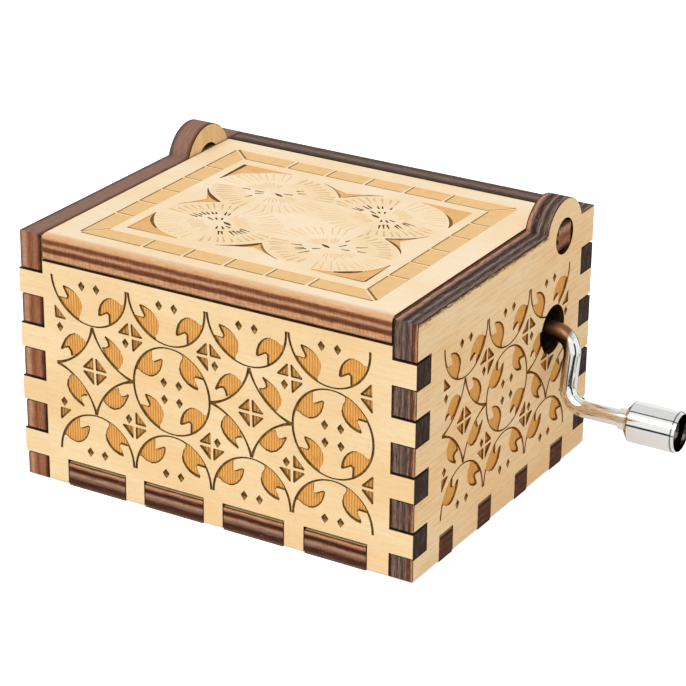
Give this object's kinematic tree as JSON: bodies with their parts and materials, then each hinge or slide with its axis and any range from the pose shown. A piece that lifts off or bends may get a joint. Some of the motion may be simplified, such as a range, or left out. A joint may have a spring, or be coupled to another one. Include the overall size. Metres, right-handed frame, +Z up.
{
  "type": "music box",
  "caption": "Hand-cranked music box: a finger-jointed plywood case with a hinged lid, a bent wire crank, and a pinned cylinder and steel comb inside.",
  "frame": {"origin": "centre of the case's underside", "axes": "+X towards the crank, +Y towards the lid's hinge, +Z up"},
  "size_m": [0.0859, 0.052, 0.0419],
  "materials": {
    "panel_wood": "bare laser-cut plywood, burnt edges, engraved trellis",
    "lid_wood": "bare laser-cut plywood, burnt edges, engraved border",
    "cast_zinc": "cast zinc alloy, satin",
    "comb_steel": "ground spring steel",
    "screw_steel": "turned steel",
    "lead": "dull lead",
    "bracket_steel": "pressed steel, satin",
    "cylinder_brass": "turned brass, satin",
    "pin_brass": "bright brass",
    "wheel_plastic": "moulded, matte",
    "crank_chrome": "polished chrome plate",
    "worm_brass": "machined brass"
  },
  "bodies": {
    "case": {"bottom_panel": "panel_wood", "front_panel": "panel_wood", "back_panel": "panel_wood", "left_panel": "panel_wood", "right_panel": "panel_wood", "bedplate": "cast_zinc", "bedplate_screws": "screw_steel", "comb": "comb_steel", "comb_screws": "screw_steel", "tuning_weights": "lead", "front_bearing_bracket": "bracket_steel", "rear_bearing_bracket": "bracket_steel", "bearing_bracket_screws": "screw_steel", "crank_bearing_bracket": "bracket_steel", "crank_bracket_screws": "screw_steel"},
    "lid": {"lid": "lid_wood"},
    "crank": {"crank": "crank_chrome", "worm": "worm_brass", "shaft_clip": "screw_steel"},
    "knob": {"crank_knob": "crank_chrome"},
    "cylinder": {"cylinder_tube": "cylinder_brass", "cylinder_pins": "pin_brass", "cylinder_end_discs": "cylinder_brass", "cylinder_arbor": "bracket_steel", "worm_wheel": "wheel_plastic"}
  },
  "joints": [
    {"name": "lid_hinge", "type": "hinge", "parent": "case", "child": "lid", "pos_m": [0, 0.01645, 0.0363], "axis": [-1, 0, 0], "range_deg": [0, 144]},
    {"name": "crank_turn", "type": "hinge", "parent": "case", "child": "crank", "pos_m": [0.032, 0.0139, 0.02287], "axis": [1, 0, 0], "continuous": true},
    {"name": "cylinder_turn", "type": "hinge", "parent": "case", "child": "cylinder", "pos_m": [0.008, 0, 0.01402], "axis": [0, 1, 0], "continuous": true},
    {"name": "knob_spin", "type": "hinge", "parent": "crank", "child": "knob", "pos_m": [0.0457, 0.01204, 0.01261], "axis": [1, 0, 0], "continuous": true}
  ],
  "couplings": [
    {"joint": "cylinder_turn", "follows": "crank_turn", "ratio": -0.066667}
  ]
}
